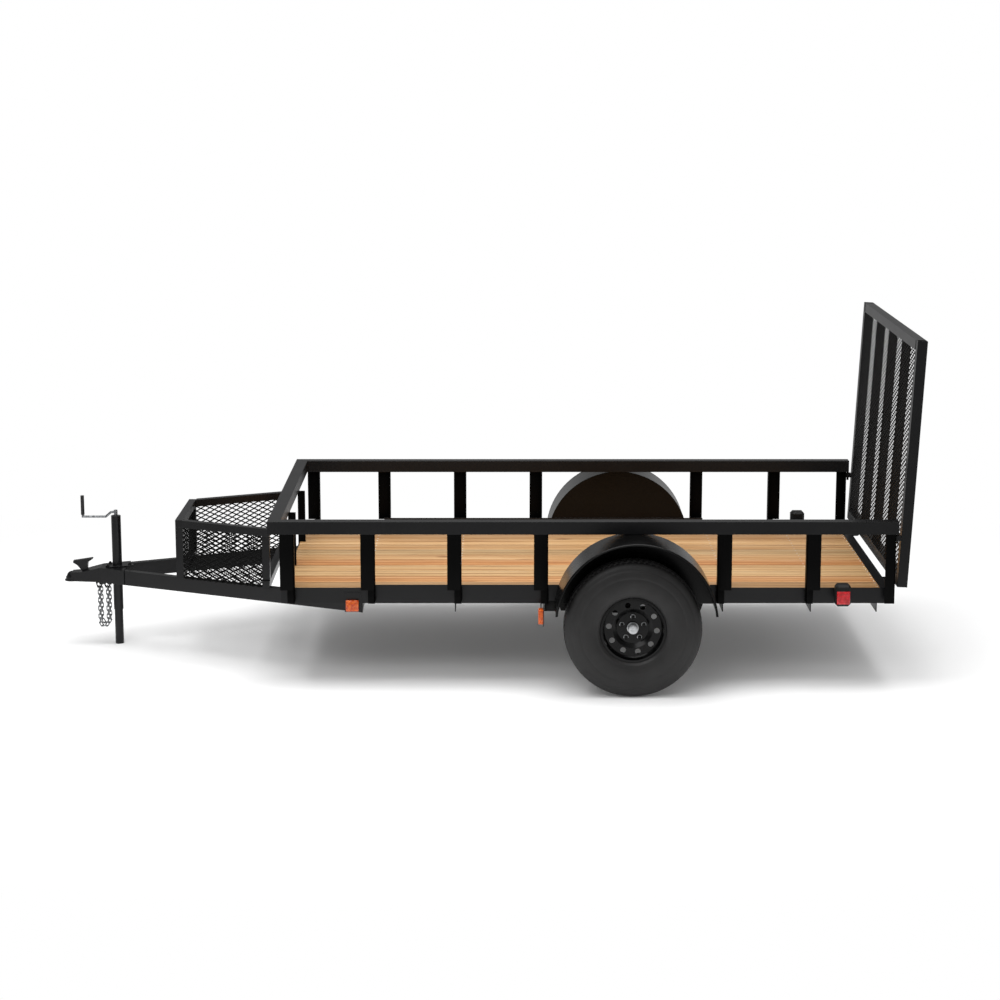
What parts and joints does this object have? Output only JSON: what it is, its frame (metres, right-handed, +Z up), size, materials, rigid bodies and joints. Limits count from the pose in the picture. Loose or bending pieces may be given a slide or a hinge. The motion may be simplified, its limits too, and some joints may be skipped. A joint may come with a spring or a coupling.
{
  "type": "utility trailer",
  "caption": "Low open cargo trailer on a centre axle, with timber deck, tube side rails, a mesh ramp gate behind and a mesh basket, jack and ball coupler on the tongue.",
  "frame": {"origin": "on the floor, on the centreline, halfway between the coupler's lip and the gate's rearmost corner", "axes": "+X to the rear along the trailer, +Y to the trailer's right, +Z up"},
  "size_m": [4.4224, 2.2344, 1.7451],
  "materials": {
    "amber_lens": "amber lamp lens",
    "deck_wood": "new treated pine boards, oiled, honey brown",
    "fender_paint": "black powder coat, satin",
    "frame_paint": "black powder coat, satin",
    "grip": "black plastic",
    "hub_paint": "black, with a bright dust cap",
    "mesh_paint": "black powder coat on expanded metal",
    "red_lens": "red lamp lens",
    "running_gear": "black chassis paint",
    "tyre": "black tyre rubber",
    "wheel_paint": "gloss black steel wheel",
    "zinc": "zinc-plated steel"
  },
  "bodies": {
    "chassis": {"side_rails": "frame_paint", "front_header": "frame_paint", "rear_sill": "frame_paint", "crossmembers": "frame_paint", "deck_boards": "deck_wood", "top_rails": "frame_paint", "front_top_rail": "frame_paint", "uprights": "frame_paint", "front_uprights": "frame_paint", "tongue_beams": "frame_paint", "coupler_body": "frame_paint", "coupler_latch": "frame_paint", "jack_tube": "frame_paint", "jack_crank": "zinc", "jack_grip": "grip", "safety_chains": "zinc", "chain_plates": "frame_paint", "basket_rails": "frame_paint", "basket_rail_front": "frame_paint", "basket_cross_bars": "frame_paint", "basket_posts": "frame_paint", "basket_mesh_floor": "mesh_paint", "basket_mesh_front": "mesh_paint", "basket_mesh_sides": "mesh_paint", "axle_beam": "running_gear", "leaf_springs": "running_gear", "spring_hangers": "running_gear", "spring_clamps": "running_gear", "fenders": "fender_paint", "lamp_guards": "frame_paint", "tail_lamps": "red_lens", "marker_plates": "frame_paint", "marker_lamps": "amber_lens", "gate_hinges": "frame_paint", "gate_stops": "frame_paint"},
    "wheel_left": {"tyre_left": "tyre", "rim_left": "wheel_paint", "hub_left": "hub_paint"},
    "wheel_right": {"tyre_right": "tyre", "rim_right": "wheel_paint", "hub_right": "hub_paint"},
    "gate": {"gate_stiles": "frame_paint", "gate_bottom_bar": "frame_paint", "gate_top_bar": "frame_paint", "gate_inner_bars": "frame_paint", "gate_mesh": "mesh_paint", "gate_knuckles": "frame_paint"},
    "jack_ram": {"jack_ram": "frame_paint"}
  },
  "joints": [
    {"name": "wheel_left_turn", "type": "hinge", "parent": "chassis", "child": "wheel_left", "pos_m": [0.77482, -1.012, 0.3425], "axis": [0, 1, 0], "continuous": true},
    {"name": "wheel_right_turn", "type": "hinge", "parent": "chassis", "child": "wheel_right", "pos_m": [0.77482, 1.012, 0.3425], "axis": [0, 1, 0], "continuous": true},
    {"name": "gate_fold", "type": "hinge", "parent": "chassis", "child": "gate", "pos_m": [2.11282, 0, 0.482], "axis": [0, 1, 0], "range_deg": [0, 107.5]},
    {"name": "jack_slide", "type": "slide", "parent": "chassis", "child": "jack_ram", "axis": [0, 0, 1], "range_m": [0, 0.16]}
  ]
}
